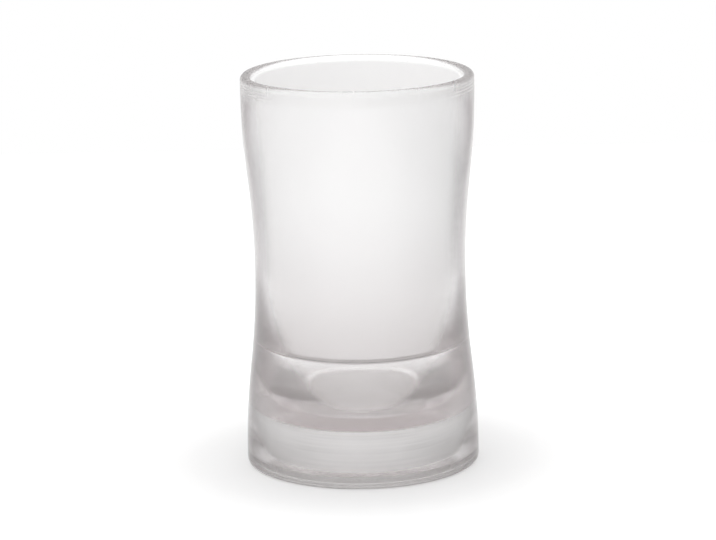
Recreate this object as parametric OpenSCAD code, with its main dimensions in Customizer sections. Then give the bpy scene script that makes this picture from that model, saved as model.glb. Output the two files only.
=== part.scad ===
// Bathroom tumbler: a clear waisted sleeve, a thick-bottomed cup held in its bore,
// and a clear disc that closes the bore from below. Everything is turned about the
// Z axis, and z = 0 is the plane the foot stands on.

/* [Outer body] */
// Height of the tumbler
height = 120; // [90:1:150]
// Radius at the rim
rim_r = 35.2; // [34.6:0.1:38]
// Radius at the waist, the narrowest place
waist_r = 32.05; // [31.5:0.05:33.5]
// Height of the waist
waist_z = 60.5; // [50:0.5:66]
// Radius at the foot
foot_r = 35.6; // [34:0.1:39]
// Height of the upright stretch below the rim
rim_straight = 4.7; // [2:0.1:7]
// Height of the upright stretch above the foot
foot_straight = 2; // [1.6:0.1:5]
// Radius of the rounded edge of the foot
foot_round = 1.4; // [0.5:0.1:1.6]

/* [Wall] */
// Thickness of the body's wall at the rim
rim_wall = 3; // [2.4:0.1:4]
// Thickness of the body's wall beside the cup's waist
waist_wall = 3.65; // [3:0.05:4.5]
// Air gap between the cup's wall and the body
air_gap = 0.3; // [0.2:0.05:0.5]

/* [Cup] */
// Height of the cup's waist
cup_waist_z = 62; // [56:0.5:68]
// Height at which the cup's heel starts
heel_z = 37; // [33:0.5:42]
// Step from the cup's waist in to the heel
heel_step = 2.4; // [1.5:0.1:3.5]
// Step from the heel in to the cup's flat underside
base_step = 1.2; // [0.6:0.1:2]
// Step from the cup's underside in to the bottom of the chamber below it
chamber_step = 5; // [3:0.1:7]
// Height of the cup's flat underside
cup_base_z = 15.5; // [13:0.1:18]
// Thickness of the cup's floor
cup_floor = 2.7; // [2:0.1:4]
// Width of the solid heel round the flat floor
heel_w = 6.9; // [4:0.1:9]
// Thickness of the cup's wall
cup_wall = 1.2; // [0.8:0.1:1.6]
// Depth of the cup's top edge below the rim
cup_drop = 2.6; // [2:0.1:4]
// Fullness of the heel, 1 for a cone and 2 for an ellipse
heel_power = 1.5; // [1.2:0.1:2]
// Height of the cement ring at the cup's top edge
rim_bond_h = 3; // [1.5:0.5:5]

/* [Base] */
// Width of the ring that the tumbler stands on
foot_ring_w = 8.6; // [6:0.1:10]
// Thickness of the base disc
disc_h = 1.8; // [1.2:0.1:3]
// Depth of the base disc above the plane it stands on
disc_inset = 0.3; // [0.2:0.1:1]
// Width of the cement ring round the base disc
base_bond_w = 0.3; // [0.2:0.05:0.5]

/* [Hidden] */

// facets of every turned face
turn = 96;
// steps along one curve
steps = 14;

// the rim is a half round as thick as the wall
lip_r = rim_wall / 2;
lip_z = height - lip_r;

// radii of the cup at its top edge, waist, heel, underside and floor
cup_top_z = height - cup_drop;
cup_top_r = rim_r - rim_wall - air_gap;
cup_waist_r = waist_r - waist_wall - air_gap;
heel_r = cup_waist_r - heel_step;
cup_base_r = heel_r - base_step;
floor_z = cup_base_z + cup_floor;
floor_r = cup_base_r - heel_w;
chamber_r = cup_base_r - chamber_step;

// the disc lies in a seat inside the ring that the tumbler stands on
seat_r = foot_r - foot_ring_w;
seat_z = disc_inset + disc_h;
disc_r = seat_r - base_bond_w;

// radius of the two equal arcs that lead upright over a height h with a side step d
function sway(h, d) = (h * h + d * d) / (4 * abs(d));

// side step reached at height y of such a pair of arcs
function swing(y, h, d) =
    let (arc = sway(h, d))
    y <= h / 2 ? sign(d) * (arc - sqrt(arc * arc - y * y))
               : d - sign(d) * (arc - sqrt(arc * arc - (h - y) * (h - y)));

// the outer face from its upright foot to its upright rim, as points of radius and height
function outer_face() = concat(
    [for (i = [0 : steps])
        let (h = waist_z - foot_straight, y = h * i / steps)
        [foot_r + swing(y, h, waist_r - foot_r), foot_straight + y]],
    [for (i = [1 : steps])
        let (h = height - rim_straight - waist_z, y = h * i / steps)
        [waist_r + swing(y, h, rim_r - waist_r), waist_z + y]]);

// a quarter turn of radius r about a centre, from one angle to another
function arc_points(centre, r, from, to) =
    [for (i = [0 : steps]) let (a = from + (to - from) * i / steps) centre + r * [cos(a), sin(a)]];

// side step at height y of one arc that starts upright and has a side step d at height h
function bow(y, h, d) =
    let (arc = (h * h + d * d) / (2 * abs(d)))
    sign(d) * (arc - sqrt(arc * arc - y * y));

// outer radius of the cup's wall at height z, above the heel
function cup_r(z) =
    cup_waist_r + (z >= cup_waist_z
        ? bow(z - cup_waist_z, cup_top_z - cup_waist_z, cup_top_r - cup_waist_r)
        : bow(cup_waist_z - z, cup_waist_z - heel_z, -heel_step));

// the wall from its top edge down to the heel, moved sideways by shift
function wall_face(shift) =
    [for (i = [0 : 2 * steps])
        let (z = cup_top_z + (heel_z - cup_top_z) * i / (2 * steps)) [cup_r(z) + shift, z]];

// the heel from the wall down to the edge of a flat floor
function heel_face(r_wall, r_flat, z_flat) =
    [for (i = [1 : steps])
        let (t = sin(90 * i / steps), side = pow(1 - pow(t, heel_power), 1 / heel_power))
        [r_flat + (r_wall - r_flat) * side, heel_z - (heel_z - z_flat) * t]];

function reversed(list) = [for (i = [len(list) - 1 : -1 : 0]) list[i]];

// clear body: waisted outer face, half-round rim, bore for the cup, tapered chamber and seat for the disc
module outer_body() {
    color([0.93, 0.93, 0.93, 0.4])
    rotate_extrude($fn = turn)
    polygon(concat(
        [[seat_r, 0]],
        arc_points([foot_r - foot_round, foot_round], foot_round, -90, 0),
        outer_face(),
        arc_points([rim_r - lip_r, lip_z], lip_r, 0, 180),
        wall_face(air_gap),
        [[heel_r, heel_z], [cup_base_r, cup_base_z], [chamber_r, seat_z], [seat_r, seat_z]]));
}

// cup: satin wall, and a polished heel and floor that are solid out to the bore
module inner_cup() {
    color([0.97, 0.97, 0.97, 0.8])
    rotate_extrude($fn = turn)
    polygon(concat(
        arc_points([cup_top_r - cup_wall / 2, cup_top_z], cup_wall / 2, 0, 180),
        wall_face(-cup_wall),
        heel_face(heel_r - cup_wall, floor_r, floor_z),
        [[0, floor_z], [0, cup_base_z], [cup_base_r, cup_base_z]],
        reversed(wall_face(0))));
}

// cement ring between the cup's top edge and the body
module rim_bond() {
    color([0.95, 0.95, 0.93, 0.7])
    rotate_extrude($fn = turn)
    polygon(concat(
        [for (i = [0 : 4]) let (z = cup_top_z - rim_bond_h * i / 4) [cup_r(z), z]],
        [for (i = [4 : -1 : 0]) let (z = cup_top_z - rim_bond_h * i / 4) [cup_r(z) + air_gap, z]]));
}

// clear disc that closes the bore under the cup
module base_disc() {
    color([0.93, 0.93, 0.93, 0.4])
    translate([0, 0, seat_z - disc_h])
    cylinder(h = disc_h, r = disc_r, $fn = turn);
}

// cement ring between the disc's edge and its seat
module base_bond() {
    color([0.95, 0.95, 0.93, 0.7])
    translate([0, 0, seat_z - disc_h])
    difference() {
        cylinder(h = disc_h, r = seat_r, $fn = turn);
        translate([0, 0, -disc_h])
        cylinder(h = 3 * disc_h, r = disc_r, $fn = turn);
    }
}

outer_body();
inner_cup();
rim_bond();
base_disc();
base_bond();
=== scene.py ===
# %% [markdown]
# # A clear bathroom tumbler
# The tumbler is a waisted sleeve of thick clear acrylic. A cup with a satin wall and a solid,
# polished heel sits in its bore, and a thin clear disc closes the bore from below.
# Everything you see in the base is light that bends and mirrors between these pieces, so the
# lesson is about real thickness, cemented seams and a few honest finishes. Each step says what a
# thing is on the real tumbler, how it could be made in Blender, and why it is made this way here.
# The first cell loads the frame, which holds the plain solids that the finished pieces dress.

# %% Load the frame
import math

import bmesh
import bpy
from mathutils import Matrix, Vector


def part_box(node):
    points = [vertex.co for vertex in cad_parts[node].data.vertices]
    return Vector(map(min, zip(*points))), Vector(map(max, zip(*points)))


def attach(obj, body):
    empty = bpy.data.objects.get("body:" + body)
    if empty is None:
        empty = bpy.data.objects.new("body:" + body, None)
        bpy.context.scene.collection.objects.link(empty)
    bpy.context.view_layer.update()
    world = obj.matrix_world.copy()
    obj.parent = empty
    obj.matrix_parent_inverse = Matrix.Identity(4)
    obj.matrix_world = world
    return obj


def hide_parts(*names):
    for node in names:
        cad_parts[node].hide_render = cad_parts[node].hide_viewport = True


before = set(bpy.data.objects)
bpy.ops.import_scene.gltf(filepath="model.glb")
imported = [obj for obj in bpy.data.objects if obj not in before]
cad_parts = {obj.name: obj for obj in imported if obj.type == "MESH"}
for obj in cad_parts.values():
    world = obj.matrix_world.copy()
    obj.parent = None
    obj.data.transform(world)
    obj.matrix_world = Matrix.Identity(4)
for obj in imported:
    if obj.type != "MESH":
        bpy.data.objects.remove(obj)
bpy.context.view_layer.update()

# %% [markdown]
# Sizes first. The frame already knows how tall the body is, how wide its foot is and where the
# cup and the disc lie, so those are read and not typed again. The few radii that no box shows,
# such as the waist, are named here in metres.

# %% Sizes of the body
body_low, body_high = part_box("outer_body")

height = body_high[2]
foot_r = body_high[0]
rim_r = 0.0352
waist_r = 0.03205
waist_z = 0.0605
rim_straight = 0.0047
foot_straight = 0.002
foot_round = 0.0014
rim_wall = 0.003
lip_r = rim_wall / 2
print("height", round(height, 4), "foot radius", round(foot_r, 4))

# %% [markdown]
# The cup hangs in the bore with a hair of air round its wall. Its heel is rounded on the inside
# only, so it grows into a thick lens of plastic round the flat floor. Its box tells where its top
# and its underside lie and how wide it is, and the rest is named here.

# %% Sizes of the cup
cup_low, cup_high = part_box("inner_cup")

cup_top_z = cup_high[2]
cup_top_r = cup_high[0]
cup_base_z = cup_low[2]
cup_waist_r = 0.0281
cup_waist_z = 0.062
heel_r = 0.0257
heel_z = 0.037
heel_power = 1.5
cup_base_r = 0.0245
floor_r = 0.0176
floor_z = 0.0182
cup_wall = 0.0012
air_gap = 0.0003
rim_bond_h = 0.003
print("cup from", round(cup_base_z, 4), "to", round(cup_top_z, 4))

# %% [markdown]
# Below the cup lies a chamber of sealed air that narrows towards the disc. The edge is the tiny
# bevel that every moulded corner has, and the film is the thickness of a layer of cement.

# %% Sizes of the base
disc_low, disc_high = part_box("base_disc")
bond_low, bond_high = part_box("base_bond")

disc_r = disc_high[0]
disc_top = disc_high[2]
disc_bottom = disc_low[2]
seat_r = bond_high[0]
chamber_r = 0.0195
edge = 0.0003
film = 0.000005
print("disc radius", round(disc_r, 4), "seat radius", round(seat_r, 4))

# %% [markdown]
# The camera comes next, because every choice after it is judged through it. The photograph looks
# down on the tumbler by about thirteen degrees from almost a metre away, with a long lens and the
# camera rolled by one degree. Those numbers were found by fitting the outline of the tumbler.
# A Track To constraint could aim the camera too, but a matrix also takes the roll in one go.

# %% Camera
view_down = math.radians(13.07)
view_distance = 8 * height
view_roll = math.radians(0.97)
lens_mm = 158.5
sensor_mm = 36
shift_x = -0.0031
shift_y = -0.0043

aim = Vector((0, 0, height / 2))
camera = bpy.data.objects.new("camera", bpy.data.cameras.new("camera"))
bpy.context.scene.collection.objects.link(camera)
bpy.context.scene.camera = camera
place = aim + Vector((0, -math.cos(view_down), math.sin(view_down))) * view_distance
forward = (aim - place).normalized()
right = Vector((1, 0, 0))
up = right.cross(forward)
turn = Matrix((right, up, -forward)).transposed().to_4x4()
camera.matrix_world = Matrix.Translation(place) @ turn @ Matrix.Rotation(-view_roll, 4, "Z")
camera.data.sensor_width = sensor_mm
camera.data.lens = lens_mm
camera.data.shift_x = shift_x
camera.data.shift_y = shift_y
print("camera at", [round(v, 3) for v in place])

# %% [markdown]
# The outer face is the shape everyone recognises. It leaves the foot upright, draws in to the
# waist and swells out again to the rim. Two equal arcs that meet half way give such a sway, and
# one arc gives the cup's gentler bow, so two small formulas replace long lists of points.


# %% Sway and bow
def sway(y, h, d):
    """Side step at height y of two equal arcs that lead upright over a height h with a side step d."""
    arc = (h * h + d * d) / (4 * abs(d))
    sign = math.copysign(1, d)
    if y <= h / 2:
        return sign * (arc - math.sqrt(arc * arc - y * y))
    return d - sign * (arc - math.sqrt(arc * arc - (h - y) ** 2))


def bow(y, h, d):
    """Side step at height y of one arc that starts upright and has a side step d at height h."""
    arc = (h * h + d * d) / (2 * abs(d))
    return math.copysign(1, d) * (arc - math.sqrt(arc * arc - y * y))


def arc_points(centre, radius, start, end, steps=12):
    """Points on an arc about a centre (r, z), from one angle in degrees to another."""
    points = []
    for i in range(steps + 1):
        a = math.radians(start + (end - start) * i / steps)
        points.append((centre[0] + radius * math.cos(a), centre[1] + radius * math.sin(a)))
    return points


print("side step from foot to waist", round(sway(waist_z, waist_z, waist_r - foot_r), 5))

# %% [markdown]
# With those curves the profile of the body is quickly drawn. A Bezier curve would do it too, but
# points from a formula keep to the sizes of the solid. Clear plastic shows every kink, so the
# face takes many more points here than the plain solid does.


# %% Profile of the body
def outer_face(steps=48):
    """The outer face from its foot up to its rim."""
    points = []
    lower = waist_z - foot_straight
    for i in range(steps + 1):
        y = lower * i / steps
        points.append((foot_r + sway(y, lower, waist_r - foot_r), foot_straight + y))
    upper = height - rim_straight - waist_z
    for i in range(1, steps + 1):
        y = upper * i / steps
        points.append((waist_r + sway(y, upper, rim_r - waist_r), waist_z + y))
    return points


print("outer face points", len(outer_face()))

# %% [markdown]
# The cup's wall follows the body's bore. Its heel drops from the wall to the flat floor on a
# curve between a cone and an ellipse: the power says how full the heel is.


# %% Profile of the cup
def cup_radius(z):
    """Outer radius of the cup's wall at height z."""
    if z >= cup_waist_z:
        return cup_waist_r + bow(z - cup_waist_z, cup_top_z - cup_waist_z, cup_top_r - cup_waist_r)
    return cup_waist_r + bow(cup_waist_z - z, cup_waist_z - heel_z, heel_r - cup_waist_r)


def wall_face(shift, steps=90):
    """The cup's wall from its top edge down to its heel, moved sideways by shift."""
    points = []
    for i in range(steps + 1):
        z = cup_top_z + (heel_z - cup_top_z) * i / steps
        points.append((cup_radius(z) + shift, z))
    return points


def heel_face(steps=40):
    """The inside of the heel, from the wall down to the edge of the flat floor."""
    points = []
    wall_r = heel_r - cup_wall
    for i in range(1, steps + 1):
        drop = math.sin(math.pi / 2 * i / steps)
        side = max(0.0, 1 - drop ** heel_power) ** (1 / heel_power)
        points.append((floor_r + (wall_r - floor_r) * side, heel_z - (heel_z - floor_z) * drop))
    return points


print("cup radius at its waist", round(cup_radius(cup_waist_z), 4))

# %% [markdown]
# All the pieces are round, so one helper turns an outline about the upright axis, as a lathe
# would. Blender's Screw modifier can do that as well, but rings that are built here let each
# stretch of the outline carry its own finish, which is how one solid has a satin wall and a
# polished heel. Clear plastic shows every facet, so it takes many steps round the axis.

# %% Outline and rings
around = 256
smallest_step = 1e-7
smallest_r = 1e-9


def joined_outline(stretches):
    """Join stretches of (finish, points) into one outline, with the finish of each step along it."""
    outline = []
    marks = []
    for finish, points in stretches:
        for point in points:
            if outline and math.dist(point, outline[-1]) < smallest_step:
                continue
            if outline:
                marks.append(finish)
            outline.append(point)
    marks.append(stretches[-1][0])
    return outline, marks


def ring_of(bm, r, z):
    """One ring of points about the axis, or a single point on it."""
    if r < smallest_r:
        return [bm.verts.new((0, 0, z))]
    ring = []
    for k in range(around):
        a = 2 * math.pi * k / around
        ring.append(bm.verts.new((r * math.cos(a), r * math.sin(a), z)))
    return ring


print("steps round the axis", around)

# %% [markdown]
# The rings are then joined face by face into a closed solid, because light only bends and fades
# rightly in a closed one. Edges sharper than a set angle stay crisp, and all the rest is shaded
# smooth.

# %% Lathe
sharp_angle = math.radians(28)


def join_rings(bm, low, high, finish_index):
    """Join two rings, or a ring and a point on the axis, with faces of one finish."""
    for k in range(around):
        j = (k + 1) % around
        if len(low) == 1:
            corners = (low[0], high[j], high[k])
        elif len(high) == 1:
            corners = (low[k], low[j], high[0])
        else:
            corners = (low[k], low[j], high[j], high[k])
        bm.faces.new(corners).material_index = finish_index


def turned(name, stretches, finishes):
    """Turn stretches of (finish, points) into one closed solid about the Z axis."""
    outline, marks = joined_outline(stretches)
    mesh = bpy.data.meshes.new(name)
    bm = bmesh.new()
    rings = [ring_of(bm, r, z) for r, z in outline]
    pairs = list(zip(rings, rings[1:], marks))
    if outline[0][0] > smallest_r:
        pairs.append((rings[-1], rings[0], marks[-1]))
    order = list(dict.fromkeys(finish for finish, points in stretches))
    for low, high, finish in pairs:
        join_rings(bm, low, high, order.index(finish))
    bmesh.ops.recalc_face_normals(bm, faces=bm.faces)
    bm.to_mesh(mesh)
    bm.free()
    mesh.shade_smooth()
    mesh.set_sharp_from_angle(angle=sharp_angle)
    piece = bpy.data.objects.new(name, mesh)
    bpy.context.scene.collection.objects.link(piece)
    for finish in order:
        mesh.materials.append(finishes[finish])
    print(name, "outline", len(outline), "faces", len(mesh.polygons))
    return piece


print("edges stay sharp over", round(math.degrees(sharp_angle)), "degrees")

# %% [markdown]
# Materials are built from nodes, and a few helpers keep that short. One feeds a socket with a
# number, a colour or another socket, and the others each place one node and hand back its result.


# %% Helpers for nodes
def feed(tree, socket, value):
    """Set a socket to a number or a colour, or link another socket to it."""
    if isinstance(value, (int, float, tuple)):
        socket.default_value = value
    else:
        tree.links.new(value, socket)


def math_node(tree, operation, a, b=None, c=None):
    """A Math node whose inputs are numbers or sockets; returns its output."""
    node = tree.nodes.new("ShaderNodeMath")
    node.operation = operation
    for slot, value in enumerate((a, b, c)):
        if value is not None:
            feed(tree, node.inputs[slot], value)
    return node.outputs[0]


def noise_node(tree, vector, scale, detail, roughness=0.55):
    """A Noise Texture on a vector socket; returns its value output."""
    node = tree.nodes.new("ShaderNodeTexNoise")
    node.inputs["Scale"].default_value = scale
    node.inputs["Detail"].default_value = detail
    node.inputs["Roughness"].default_value = roughness
    tree.links.new(vector, node.inputs["Vector"])
    return node.outputs["Fac"]


def colour_mix(tree, factor, a, b, blend="MIX"):
    """A mix of two colours, each a tuple or a socket; returns its result."""
    node = tree.nodes.new("ShaderNodeMix")
    node.data_type = "RGBA"
    node.blend_type = blend
    for label, value in (("Factor", factor), ("A", a), ("B", b)):
        feed(tree, node.inputs[label], value)
    return node.outputs["Result"]


def fade(tree, value, start, stop, low=0.0, high=1.0):
    """A soft ramp from low to high while a value goes from start to stop."""
    node = tree.nodes.new("ShaderNodeMapRange")
    node.interpolation_type = "SMOOTHSTEP"
    tree.links.new(value, node.inputs["Value"])
    for label, limit in (("From Min", start), ("From Max", stop), ("To Min", low), ("To Max", high)):
        feed(tree, node.inputs[label], limit)
    return node.outputs["Result"]


def bump_node(tree, height_socket, strength, distance):
    """A Bump node on a height socket; returns its normal."""
    node = tree.nodes.new("ShaderNodeBump")
    node.inputs["Strength"].default_value = strength
    node.inputs["Distance"].default_value = distance
    tree.links.new(height_socket, node.inputs["Height"])
    return node.outputs["Normal"]


print("helpers: feed, math_node, noise_node, colour_mix, fade, bump_node")

# %% [markdown]
# An effect that several finishes share is best made once, as a node group, and placed in each of
# them with its own values. Most effects here need to know where a point lies on its piece.


# %% Helpers for node groups
def new_group(name, inputs, outputs):
    """An empty shader node group with named float inputs (with values) and outputs."""
    group = bpy.data.node_groups.new(name, "ShaderNodeTree")
    for label, value in inputs:
        socket = group.interface.new_socket(name=label, in_out="INPUT", socket_type="NodeSocketFloat")
        socket.default_value = value
    for label in outputs:
        group.interface.new_socket(name=label, in_out="OUTPUT", socket_type="NodeSocketFloat")
    start = group.nodes.new("NodeGroupInput")
    end = group.nodes.new("NodeGroupOutput")
    return group, start, end


def group_node(tree, group, **values):
    """A group placed in a tree, with values for its named inputs."""
    node = tree.nodes.new("ShaderNodeGroup")
    node.node_tree = group
    for label, value in values.items():
        node.inputs[label].default_value = value
    return node


def place_on_piece(tree):
    """Where a point lies on its piece, as a vector."""
    return tree.nodes.new("ShaderNodeTexCoord").outputs["Object"]


def x_y_z(tree, vector):
    """The x, y and z of a vector."""
    split = tree.nodes.new("ShaderNodeSeparateXYZ")
    tree.links.new(vector, split.inputs[0])
    return tuple(split.outputs)


def off_axis(tree, x, y):
    """Distance from the upright axis."""
    squares = math_node(tree, "ADD", math_node(tree, "MULTIPLY", x, x), math_node(tree, "MULTIPLY", y, y))
    return math_node(tree, "SQRT", squares)


print("helpers: new_group, group_node, place_on_piece, x_y_z, off_axis")

# %% [markdown]
# Real polished acrylic is never perfect: wiping it dry leaves hair-fine scratches that cross at
# a few angles. Noise that is stretched far makes such hairs, and a high power keeps only the
# strongest of them. A picture of scratches would also do, but noise needs no file and no seam.

# %% Wiping scratches
hair_angles = (0.3, 1.4, 2.3)
hair_turn = (1.0, 0.7, 1.9)
hair_scale = (900, 14, 14)
hair_gain = 1.35
hair_sharpness = 14.0

scratches, start, end = new_group("Wiping scratches", [("Amount", 0.3)], ["Mask"])
vector = place_on_piece(scratches)
total = None
for angle in hair_angles:
    mapping = scratches.nodes.new("ShaderNodeMapping")
    mapping.inputs["Rotation"].default_value = tuple(angle * share for share in hair_turn)
    mapping.inputs["Scale"].default_value = hair_scale
    scratches.links.new(vector, mapping.inputs["Vector"])
    value = noise_node(scratches, mapping.outputs["Vector"], scale=1.0, detail=2.0)
    bright = math_node(scratches, "MULTIPLY", value, hair_gain)
    hair = math_node(scratches, "POWER", bright, hair_sharpness)
    total = hair if total is None else math_node(scratches, "ADD", total, hair)
mask = math_node(scratches, "MINIMUM", total, 1.0)
scratches.links.new(math_node(scratches, "MULTIPLY", mask, start.outputs["Amount"]), end.inputs["Mask"])
print("group", scratches.name, "with hairs at", len(hair_angles), "angles")

# %% [markdown]
# Moulding and turning leave faint lines that run round the axis. They are far too fine to cut
# into the mesh, so they only change how rough or how dark a face is and, by a Bump node, how it
# catches the light. Noise by the distance from the axis and the height gives rings, and a second,
# wider noise breaks them up.

# %% Flow lines round the axis
lines_per_metre = 1400.0
line_sharpness = 3.0
patch_scale = 60.0
patch_gain = 4.0

flow, start, end = new_group("Flow lines", [("Amount", 0.5)], ["Mask", "Height"])
vector = place_on_piece(flow)
x, y, z = x_y_z(flow, vector)
joined = flow.nodes.new("ShaderNodeCombineXYZ")
flow.links.new(math_node(flow, "MULTIPLY", off_axis(flow, x, y), lines_per_metre), joined.inputs[0])
flow.links.new(math_node(flow, "SINE", math_node(flow, "ARCTAN2", y, x)), joined.inputs[1])
flow.links.new(math_node(flow, "MULTIPLY", z, lines_per_metre), joined.inputs[2])
fine = noise_node(flow, joined.outputs[0], scale=1.0, detail=3.0)
wide = noise_node(flow, vector, scale=patch_scale, detail=2.0)
lines = math_node(flow, "POWER", fine, line_sharpness)
patches = math_node(flow, "MULTIPLY", wide, patch_gain)
streak = math_node(flow, "MINIMUM", math_node(flow, "MULTIPLY", lines, patches), 1.0)
mask = math_node(flow, "MULTIPLY", streak, start.outputs["Amount"])
flow.links.new(mask, end.inputs["Mask"])
flow.links.new(fine, end.inputs["Height"])
print("group", flow.name, "with", int(lines_per_metre), "lines a metre")

# %% [markdown]
# Where two clear pieces are cemented, light passes from one to the other as if they were one.
# One joined mesh would show that too, but here each piece stays a closed solid of its own. So the
# touching faces stay, and this group finds them by their place and lets the material turn nearly
# see-through there. There are two such joints: the cone round the cup's heel, and the ring of the
# seat that the disc lies against.

# %% Cemented faces
joint_width = 0.00003

cemented, start, end = new_group("Cemented faces", [("Trace", 0.03)], ["Alpha"])
x, y, z = x_y_z(cemented, place_on_piece(cemented))
radius = off_axis(cemented, x, y)
lean = (heel_r - cup_base_r) / (heel_z - cup_base_z)
cone = math_node(cemented, "MULTIPLY_ADD", z, lean, cup_base_r - lean * cup_base_z)
off_cone = math_node(cemented, "ABSOLUTE", math_node(cemented, "SUBTRACT", radius, cone))
on_cone = math_node(cemented, "LESS_THAN", off_cone, joint_width)
over_base = math_node(cemented, "GREATER_THAN", z, cup_base_z + joint_width)
under_wall = math_node(cemented, "LESS_THAN", z, heel_z)
heel_joint = math_node(cemented, "MULTIPLY", on_cone, math_node(cemented, "MULTIPLY", over_base, under_wall))
off_seat = math_node(cemented, "ABSOLUTE", math_node(cemented, "SUBTRACT", z, disc_top))
on_seat = math_node(cemented, "LESS_THAN", off_seat, joint_width)
outside = math_node(cemented, "GREATER_THAN", radius, chamber_r)
joint = math_node(cemented, "MAXIMUM", heel_joint, math_node(cemented, "MULTIPLY", on_seat, outside))
kept = math_node(cemented, "SUBTRACT", 1.0, start.outputs["Trace"])
alpha = math_node(cemented, "SUBTRACT", 1.0, math_node(cemented, "MULTIPLY", joint, kept))
cemented.links.new(alpha, end.inputs["Alpha"])
print("group", cemented.name, "over", round((heel_z - cup_base_z) * 1000, 1), "mm of heel")

# %% [markdown]
# A rim is what hands and lips touch, so its polish is the first to go. It could be a finish of its
# own, but that would end at a hard line. This group goes softly from one value to another over
# the last few millimetres below the rim.

# %% Worn rim
worn_from = height - 0.008
worn_to = height - 0.002

worn_rim, start, end = new_group("Worn rim", [("Wall", 0.0), ("Rim", 1.0)], ["Value"])
z = x_y_z(worn_rim, place_on_piece(worn_rim))[2]
worn = fade(worn_rim, z, worn_from, worn_to, start.outputs["Wall"], start.outputs["Rim"])
worn_rim.links.new(worn, end.inputs["Value"])
print("group", worn_rim.name, "over", round((worn_to - worn_from) * 1000, 1), "mm")

# %% [markdown]
# The clear acrylic is a Principled BSDF with full transmission and the refractive index of
# acrylic, 1.49. A grey base colour would tint thin and thick plastic alike, so a Volume Absorption
# inside it takes a little light from every millimetre instead. The cup's thick heel takes the
# most, so it shows as a grey lens, and the thin wall stays bright.
# The body's colour is also painted darker along its edges, where the wall is seen at a slant, by
# a Layer Weight node: painted shade, on top of the real loss of light in the thick wall. Its worn
# rim stays as it is.

# %% Values of the clear acrylic
acrylic_ior = 1.49
white = (1, 1, 1, 1)
clear_tone = (0.931, 0.922, 0.922, 1)
body_depth = 35.0
cup_depth = 225.0
disc_depth = 120.0
# grey of the painted shade along the body's edges, where it is seen at a slant
painted_edge_shade_colour = (0.38, 0.352, 0.357, 1)
slant_blend = 0.5
slant_from = 0.4
slant_to = 0.75
rim_roughness = 0.25
scratch_roughness = 0.2
line_roughness = 0.1
line_bump = 0.05
line_depth = 0.0002
joint_trace = 0.02


def finish_start(name):
    """A new material with its node tree and its Principled BSDF, with acrylic's refractive index."""
    material = bpy.data.materials.new(name)
    material.use_nodes = True
    shader = material.node_tree.nodes["Principled BSDF"]
    shader.inputs["IOR"].default_value = acrylic_ior
    return material, material.node_tree, shader


def painted_edge_shade(tree):
    """Painted shade on the wall's colour, deeper where it is seen at a slant, and none at the worn rim."""
    facing = tree.nodes.new("ShaderNodeLayerWeight")
    facing.inputs["Blend"].default_value = slant_blend
    slant = fade(tree, facing.outputs["Facing"], slant_from, slant_to)
    wall = group_node(tree, worn_rim, Wall=1.0, Rim=0.0)
    amount = math_node(tree, "MULTIPLY", slant, wall.outputs["Value"])
    return colour_mix(tree, amount, white, painted_edge_shade_colour)


print("acrylic with index", acrylic_ior, "and depths", body_depth, cup_depth, disc_depth)

# %% [markdown]
# The three clear pieces differ in how smooth, how scratched and how deep in tone they are, and
# only the body gets the painted shade along its edges, so one function makes their three materials.


# %% Clear acrylic
def clear_finish(name, roughness, scratch, lines, depth, painted_slant_shade=False):
    """Polished clear acrylic with wiping scratches and flow lines."""
    material, tree, shader = finish_start(name)
    shader.inputs["Transmission Weight"].default_value = 1.0
    shader.inputs["Base Color"].default_value = white
    # painted shade: the body's colour darkens along its edges, where it is seen at a slant
    if painted_slant_shade:
        tree.links.new(painted_edge_shade(tree), shader.inputs["Base Color"])
    wiped = group_node(tree, scratches, Amount=scratch)
    moulded = group_node(tree, flow, Amount=lines)
    worn = group_node(tree, worn_rim, Wall=roughness, Rim=rim_roughness)
    rough = math_node(tree, "MULTIPLY_ADD", wiped.outputs["Mask"], scratch_roughness, worn.outputs["Value"])
    rough = math_node(tree, "MULTIPLY_ADD", moulded.outputs["Mask"], line_roughness, rough)
    tree.links.new(rough, shader.inputs["Roughness"])
    normal = bump_node(tree, moulded.outputs["Height"], line_bump, line_depth)
    tree.links.new(normal, shader.inputs["Normal"])
    joint = group_node(tree, cemented, Trace=joint_trace)
    tree.links.new(joint.outputs["Alpha"], shader.inputs["Alpha"])
    inside = tree.nodes.new("ShaderNodeVolumeAbsorption")
    inside.inputs["Color"].default_value = clear_tone
    inside.inputs["Density"].default_value = depth
    tree.links.new(inside.outputs[0], tree.nodes["Material Output"].inputs["Volume"])
    return material


finishes = {
    "clear": clear_finish(
        "clear_acrylic", roughness=0.16, scratch=0.25, lines=0.2, depth=body_depth, painted_slant_shade=True
    ),
    "floor": clear_finish("cup_floor_acrylic", roughness=0.1, scratch=0.3, lines=0.4, depth=cup_depth),
    "disc": clear_finish("disc_acrylic", roughness=0.08, scratch=0.4, lines=1.0, depth=disc_depth),
}
print("clear finishes", sorted(finishes))

# %% [markdown]
# The cup's wall has a satin finish: thousands of tiny pits that spread the light, so it shows
# white and soft. Rough glass could show that too, but it needs far more samples behind another
# clear wall, so a matt white with a fine grain takes its place. Its colour is painted darker
# towards the heel, from white to a pale warm grey on the way down: painted shade, for the light
# that falls off down the wall.

# %% Satin wall
satin_white = (0.985, 0.983, 0.982, 1)
# the pale warm grey of the painted shade near the heel
satin_painted_shade = (0.8, 0.776, 0.775, 1)
satin_white_z = 0.092
satin_painted_shade_z = 0.034
satin_roughness = 0.5
grain_scale = 2600.0
grain_roughness = 0.2
grain_bump = 0.15
grain_depth = 0.0001

satin, tree, shader = finish_start("satin_wall")
vector = place_on_piece(tree)
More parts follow.
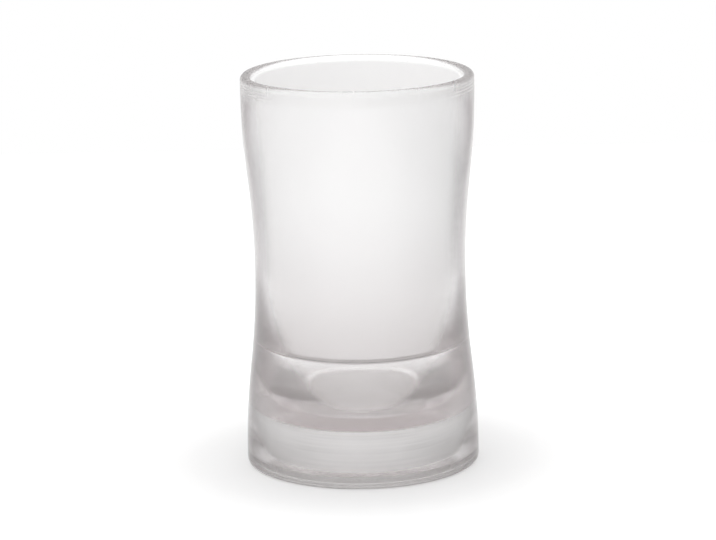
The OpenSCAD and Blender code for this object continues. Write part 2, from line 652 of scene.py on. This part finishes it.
# painted shade: the satin's colour goes from white at the top to grey near the heel
painted_shade_fade = fade(tree, x_y_z(tree, vector)[2], satin_painted_shade_z, satin_white_z)
shade = colour_mix(tree, painted_shade_fade, satin_painted_shade, satin_white)
tree.links.new(shade, shader.inputs["Base Color"])
grain = noise_node(tree, vector, scale=grain_scale, detail=3.0)
rough = math_node(tree, "MULTIPLY_ADD", grain, grain_roughness, satin_roughness)
tree.links.new(rough, shader.inputs["Roughness"])
tree.links.new(bump_node(tree, grain, grain_bump, grain_depth), shader.inputs["Normal"])
finishes["satin"] = satin
print("satin fades from", satin_white_z, "down to", satin_painted_shade_z)

# %% [markdown]
# Some faces are not polished. The chamber below the cup was left as it was turned: fine rings run
# round it and spread the light, which makes the bright band low in the base. Its colour is painted
# darker where it is seen through the body at a slant, so that band is bright in its middle and
# dark at its ends: painted shade. The ring that the tumbler stands on was ground flat, and its grey
# is painted shadow where the foot meets the table. The cement at the rim is bright and milky, and
# the cement round the disc is a greyer copy of it, painted shade low in the base.

# %% Values of the matt finishes
# how dark the bore's painted shade gets at a slant
bore_painted_shade_level = 0.4
bore_blend = 0.35
groove_shade = 0.65
groove_roughness = 0.2


def painted_bore_shade(tree):
    """White from outside, and painted darker at a slant where a face is seen through its own piece: painted
    shade.
    """
    facing = tree.nodes.new("ShaderNodeLayerWeight")
    facing.inputs["Blend"].default_value = bore_blend
    dark = (bore_painted_shade_level, bore_painted_shade_level, bore_painted_shade_level, 1)
    through = colour_mix(tree, facing.outputs["Facing"], white, dark)
    side = tree.nodes.new("ShaderNodeNewGeometry")
    return colour_mix(tree, side.outputs["Backfacing"], white, through)


print("the turned bore drops to", bore_painted_shade_level, "at a slant")

# %% [markdown]
# All four matt finishes are pale, with fine lines round the axis that are a little darker and
# rougher than the rest. One function makes them all, so they differ only in their values.


# %% Turned bore, cement and ground foot
def matt_finish(name, colour, roughness, lines, painted_slant_shade=False):
    """A pale matt finish with fine lines round the axis."""
    material, tree, shader = finish_start(name)
    moulded = group_node(tree, flow, Amount=lines)
    groove = tuple(c * groove_shade for c in colour) + (1,)
    shade = colour_mix(tree, moulded.outputs["Mask"], (*colour, 1), groove)
    if painted_slant_shade:
        # painted shade: the bore goes darker where it is seen at a slant through the body
        shade = colour_mix(tree, 1.0, shade, painted_bore_shade(tree), "MULTIPLY")
    tree.links.new(shade, shader.inputs["Base Color"])
    rough = math_node(tree, "MULTIPLY_ADD", moulded.outputs["Mask"], groove_roughness, roughness)
    tree.links.new(rough, shader.inputs["Roughness"])
    return material


turned_colour = (0.98, 0.975, 0.972)
bright_colour = (0.985, 0.983, 0.98)
# painted shade: a greyer copy of the rim's cement, for the shade low in the base
cement_painted_shade_colour = (0.8, 0.79, 0.785)
# painted shadow: the ground foot is grey where it meets the table
ground_foot_painted_shadow_colour = (0.68, 0.672, 0.668)
finishes["bore"] = matt_finish("turned_bore", turned_colour, roughness=0.4, lines=0.7, painted_slant_shade=True)
finishes["cement"] = matt_finish("cement", bright_colour, roughness=0.5, lines=0.2)
finishes["cement_and_shade"] = matt_finish("cement_painted_shade", cement_painted_shade_colour, roughness=0.5, lines=0.2)
finishes["ground_and_shadow"] = matt_finish("ground_foot_painted_shadow", ground_foot_painted_shadow_colour, roughness=0.6, lines=0.3)
print("all finishes", sorted(finishes))

# %% [markdown]
# Now the pieces. The body's outline runs from its foot up the outer face, over the half-round
# rim and down the bore. Below the wall the bore touches the cup's heel, and below the heel it is
# the turned face of the chamber, down to the seat of the disc. You could also cut the bore out
# of a solid with a Boolean modifier, but a turned outline leaves cleaner faces for the light.

# %% Outer body
body = turned(
    "outer_body_clear",
    [
        ("clear", arc_points((seat_r + edge, edge), edge, 180, 270, steps=4)),
        # the foot's face: ground flat, and grey as painted shadow where it meets the table
        ("ground_and_shadow", [(seat_r + edge, 0), (foot_r - foot_round, 0)]),
        ("clear", arc_points((foot_r - foot_round, foot_round), foot_round, -90, 0)),
        ("clear", outer_face()),
        ("clear", arc_points((rim_r - lip_r, height - lip_r), lip_r, 0, 180, steps=20)),
        ("clear", wall_face(air_gap)),
        ("clear", [(heel_r, heel_z), (cup_base_r, cup_base_z)]),
        ("bore", [(cup_base_r, cup_base_z), (chamber_r, disc_top)]),
        ("clear", [(chamber_r, disc_top), (seat_r, disc_top)]),
        ("clear", [(seat_r, disc_top), (seat_r, edge)]),
    ],
    finishes,
)
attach(body, "root")
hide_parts("outer_body")

# %% [markdown]
# The cup starts in the middle of its floor, climbs the heel and the satin wall, goes over its
# top edge and comes down on the outside. A film of cement keeps its heel off the body by a few
# thousandths of a millimetre, because two faces in exactly the same place give dark specks.

# %% Inner cup
floor_rings = 6
floor_points = [(floor_r * k / floor_rings, floor_z) for k in range(floor_rings + 1)]
cup = turned(
    "inner_cup_satin",
    [
        ("floor", floor_points),
        ("floor", heel_face()[::-1]),
        ("satin", wall_face(-cup_wall)[::-1]),
        ("satin", arc_points((cup_top_r - cup_wall / 2, cup_top_z), cup_wall / 2, 180, 0, steps=8)),
        ("satin", wall_face(0)[:-1]),
        ("floor", [(heel_r - film, heel_z), (cup_base_r - film, cup_base_z)]),
        ("floor", [(cup_base_r / 2, cup_base_z), (0, cup_base_z)]),
    ],
    finishes,
)
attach(cup, "root")
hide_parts("inner_cup")

# %% [markdown]
# The disc lies in its seat, a little above the plane the tumbler stands on. It was cut from a
# sheet and turned, so its flow lines are the strongest.

# %% Base disc
disc = turned(
    "base_disc_clear",
    [
        ("disc", [(0, disc_bottom), (disc_r / 2, disc_bottom)]),
        ("disc", arc_points((disc_r - edge, disc_bottom + edge), edge, -90, 0, steps=4)),
        ("disc", [(disc_r, disc_top - film), (chamber_r, disc_top - film)]),
        ("disc", [(chamber_r / 2, disc_top - film), (0, disc_top - film)]),
    ],
    finishes,
)
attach(disc, "root")
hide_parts("base_disc")

# %% [markdown]
# Two cement rings fill the hairline gaps that are left, one round the disc and one between the
# cup's top edge and the body. They are thin, but the rim would look hollow without its ring.

# %% Cement rings
ring_corners = [(disc_r, disc_bottom), (seat_r, disc_bottom), (seat_r, disc_top), (disc_r, disc_top)]
# the ring round the disc gets the grey cement of painted shade
base_ring = turned("base_bond_ring", [("cement_and_shade", ring_corners)], finishes)
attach(base_ring, "root")
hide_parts("base_bond")

ring_steps = 6
ring_z = [cup_top_z - rim_bond_h * i / ring_steps for i in range(ring_steps + 1)]
inner_side = [(cup_radius(z), z) for z in ring_z]
outer_side = [(cup_radius(z) + air_gap, z) for z in reversed(ring_z)]
rim_ring = turned("rim_bond_ring", [("cement", inner_side + outer_side)], finishes)
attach(rim_ring, "root")
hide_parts("rim_bond")

# %% [markdown]
# Glass needs many bounces, or the light that is caught in a thick wall is lost and the wall goes
# dark. The filter that blurs gloss after a matt bounce is off, because most of the light on the
# satin comes to it through clear plastic.

# %% Light paths
scene = bpy.context.scene
scene.view_settings.view_transform = "Standard"
clear_bounces = 128
matt_bounces = 12
pass_through = 32
scene.cycles.max_bounces = clear_bounces
scene.cycles.glossy_bounces = clear_bounces
scene.cycles.transmission_bounces = clear_bounces
scene.cycles.diffuse_bounces = matt_bounces
scene.cycles.transparent_max_bounces = pass_through
scene.cycles.blur_glossy = 0.0
print("bounces", clear_bounces, "clear and", matt_bounces, "matt")

# %% [markdown]
# A studio often shows its ground as plain white, though the light on it is no stronger than the
# light on the object. Light Path makes that split: a ray that shows a thing, straight or by
# way of gloss and glass, can see a lighter ground than the rays that only carry light.


# %% What a ray shows
def seen_directly(tree):
    """1 on camera, glossy and transmission rays, which show a thing, and 0 on rays that only light it."""
    path = tree.nodes.new("ShaderNodeLightPath")
    straight = math_node(tree, "ADD", path.outputs["Is Camera Ray"], path.outputs["Is Glossy Ray"])
    total = math_node(tree, "ADD", straight, path.outputs["Is Transmission Ray"])
    return math_node(tree, "MINIMUM", total, 1.0)


print("rays that show: camera, glossy, transmission")

# %% [markdown]
# Lamps would leave sharp spots in the clear plastic, so the light comes from the world alone, as
# from one big soft tent: an even level all round, with wide, weak lobes in front, behind and
# above. A lobe fades as an exponential the further a direction is off its aim, so it has no edge
# that could show. Each has an azimuth and an elevation in degrees, an amount and a tightness.

# %% Soft lights
base_light = 0.635
soft_lights = [
    ("front", 180, 20, 0.26, 3.0),
    ("front left", 225, 20, 0.2, 3.0),
    ("back", 0, 30, 0.34, 6.0),
    ("above", 0, 80, 0.56, 3.0),
]


def lobe(tree, direction, azimuth, elevation, tightness):
    """A soft lobe of light about an aim given in degrees, 1 at its centre."""
    a = math.radians(azimuth)
    e = math.radians(elevation)
    node = tree.nodes.new("ShaderNodeVectorMath")
    node.operation = "DOT_PRODUCT"
    node.inputs[1].default_value = (math.sin(a) * math.cos(e), math.cos(a) * math.cos(e), math.sin(e))
    tree.links.new(direction, node.inputs[0])
    off_aim = math_node(tree, "SUBTRACT", node.outputs["Value"], 1.0)
    return math_node(tree, "EXPONENT", math_node(tree, "MULTIPLY", off_aim, tightness))


print("lights", [entry[0] for entry in soft_lights])

# %% [markdown]
# The world adds the lobes up and sends the sum out as white light. Below the horizon, a ray that
# shows a thing finds plain white, as if the backdrop ran on past the table.

# %% Studio world
world = bpy.data.worlds.new("studio")
scene.world = world
world.use_nodes = True
tree = world.node_tree
tree.nodes.clear()
direction = tree.nodes.new("ShaderNodeTexCoord").outputs["Generated"]
light = base_light
for name, azimuth, elevation, amount, tightness in soft_lights:
    shine = lobe(tree, direction, azimuth, elevation, tightness)
    light = math_node(tree, "MULTIPLY_ADD", shine, amount, light)
falling = math_node(tree, "LESS_THAN", x_y_z(tree, direction)[2], 0.0)
below = math_node(tree, "MULTIPLY", falling, seen_directly(tree))
light = math_node(tree, "MULTIPLY", light, math_node(tree, "SUBTRACT", 1.0, below))
light = math_node(tree, "ADD", light, below)
colour = tree.nodes.new("ShaderNodeCombineXYZ")
for k in range(3):
    tree.links.new(light, colour.inputs[k])
studio = tree.nodes.new("ShaderNodeBackground")
tree.links.new(colour.outputs[0], studio.inputs["Color"])
tree.links.new(studio.outputs[0], tree.nodes.new("ShaderNodeOutputWorld").inputs[0])
print("world", world.name, "at a base level of", base_light)

# %% [markdown]
# The tumbler stands on a broad strip of white paper that runs away from you over a pale grey
# table. The table is painted a little darker on the right, as painted shade where the light falls
# off. Thick clear edges mirror what lies far to the side, so it is the grey table that keeps
# bright streaks out of both sides of the wall.

# %% Table top
table_half = 3.0
table_back = 0.5
table_drop = 0.0001

mesh = bpy.data.meshes.new("table")
near_corners = [(-table_half, -table_half, 0), (table_half, -table_half, 0)]
far_corners = [(table_half, table_back, 0), (-table_half, table_back, 0)]
mesh.from_pydata(near_corners + far_corners, [], [(0, 1, 2, 3)])
table = bpy.data.objects.new("table", mesh)
scene.collection.objects.link(table)
table.location.z = -table_drop
print("table", table_half * 2, "metres wide")

# %% [markdown]
# The paper is a matt pale white. Its lift is the little that is added, on rays that show it, to
# bring it up to the plain white of a product photograph. The lift fades out near the foot, which
# paints a soft shadow round the tumbler on top of its real one. Two sheets would show an edge, so
# one material holds both, and fades from paper to table with the distance from the middle.

# %% Paper and table
paper_half_width = 0.16
paper_edge = 0.12
paper_tone = 0.85
paper_lift = 0.34
# painted shadow: the small lift that is left next to the foot
painted_shadow_lift = 0.08
painted_shadow_reach = foot_r * 2.6
side_tone_left = 0.66
# painted shade: the table is darker on the right
side_tone_right_painted_shade = 0.5
painted_side_shade_reach = 0.3

material = bpy.data.materials.new("table_top")
material.use_nodes = True
tree = material.node_tree
tree.nodes.clear()
vector = place_on_piece(tree)
x = x_y_z(tree, vector)[0]
paper_end = paper_half_width + paper_edge
paper = fade(tree, math_node(tree, "ABSOLUTE", x), paper_half_width, paper_end, low=1.0, high=0.0)
tone = tree.nodes.new("ShaderNodeMix")
tree.links.new(paper, tone.inputs["Factor"])
# painted shade: the grey table darkens from left to right
tree.links.new(fade(tree, x, -painted_side_shade_reach, painted_side_shade_reach, side_tone_left, side_tone_right_painted_shade), tone.inputs["A"])
tone.inputs["B"].default_value = paper_tone
colour = tree.nodes.new("ShaderNodeCombineXYZ")
for k in range(3):
    tree.links.new(tone.outputs["Result"], colour.inputs[k])
plain = tree.nodes.new("ShaderNodeBsdfDiffuse")
tree.links.new(colour.outputs[0], plain.inputs["Color"])
far = tree.nodes.new("ShaderNodeVectorMath")
far.operation = "LENGTH"
tree.links.new(vector, far.inputs[0])
# painted shadow: less lift near the foot, on top of the real shadow
raised = fade(tree, far.outputs["Value"], foot_r, painted_shadow_reach, painted_shadow_lift, paper_lift)
lift = math_node(tree, "MULTIPLY", raised, paper)
glow = tree.nodes.new("ShaderNodeEmission")
tree.links.new(math_node(tree, "MULTIPLY", seen_directly(tree), lift), glow.inputs["Strength"])
both = tree.nodes.new("ShaderNodeAddShader")
tree.links.new(plain.outputs[0], both.inputs[0])
tree.links.new(glow.outputs[0], both.inputs[1])
tree.links.new(both.outputs[0], tree.nodes.new("ShaderNodeOutputMaterial").inputs[0])
mesh.materials.append(material)
print("paper", round(paper_half_width * 2, 2), "metres wide")
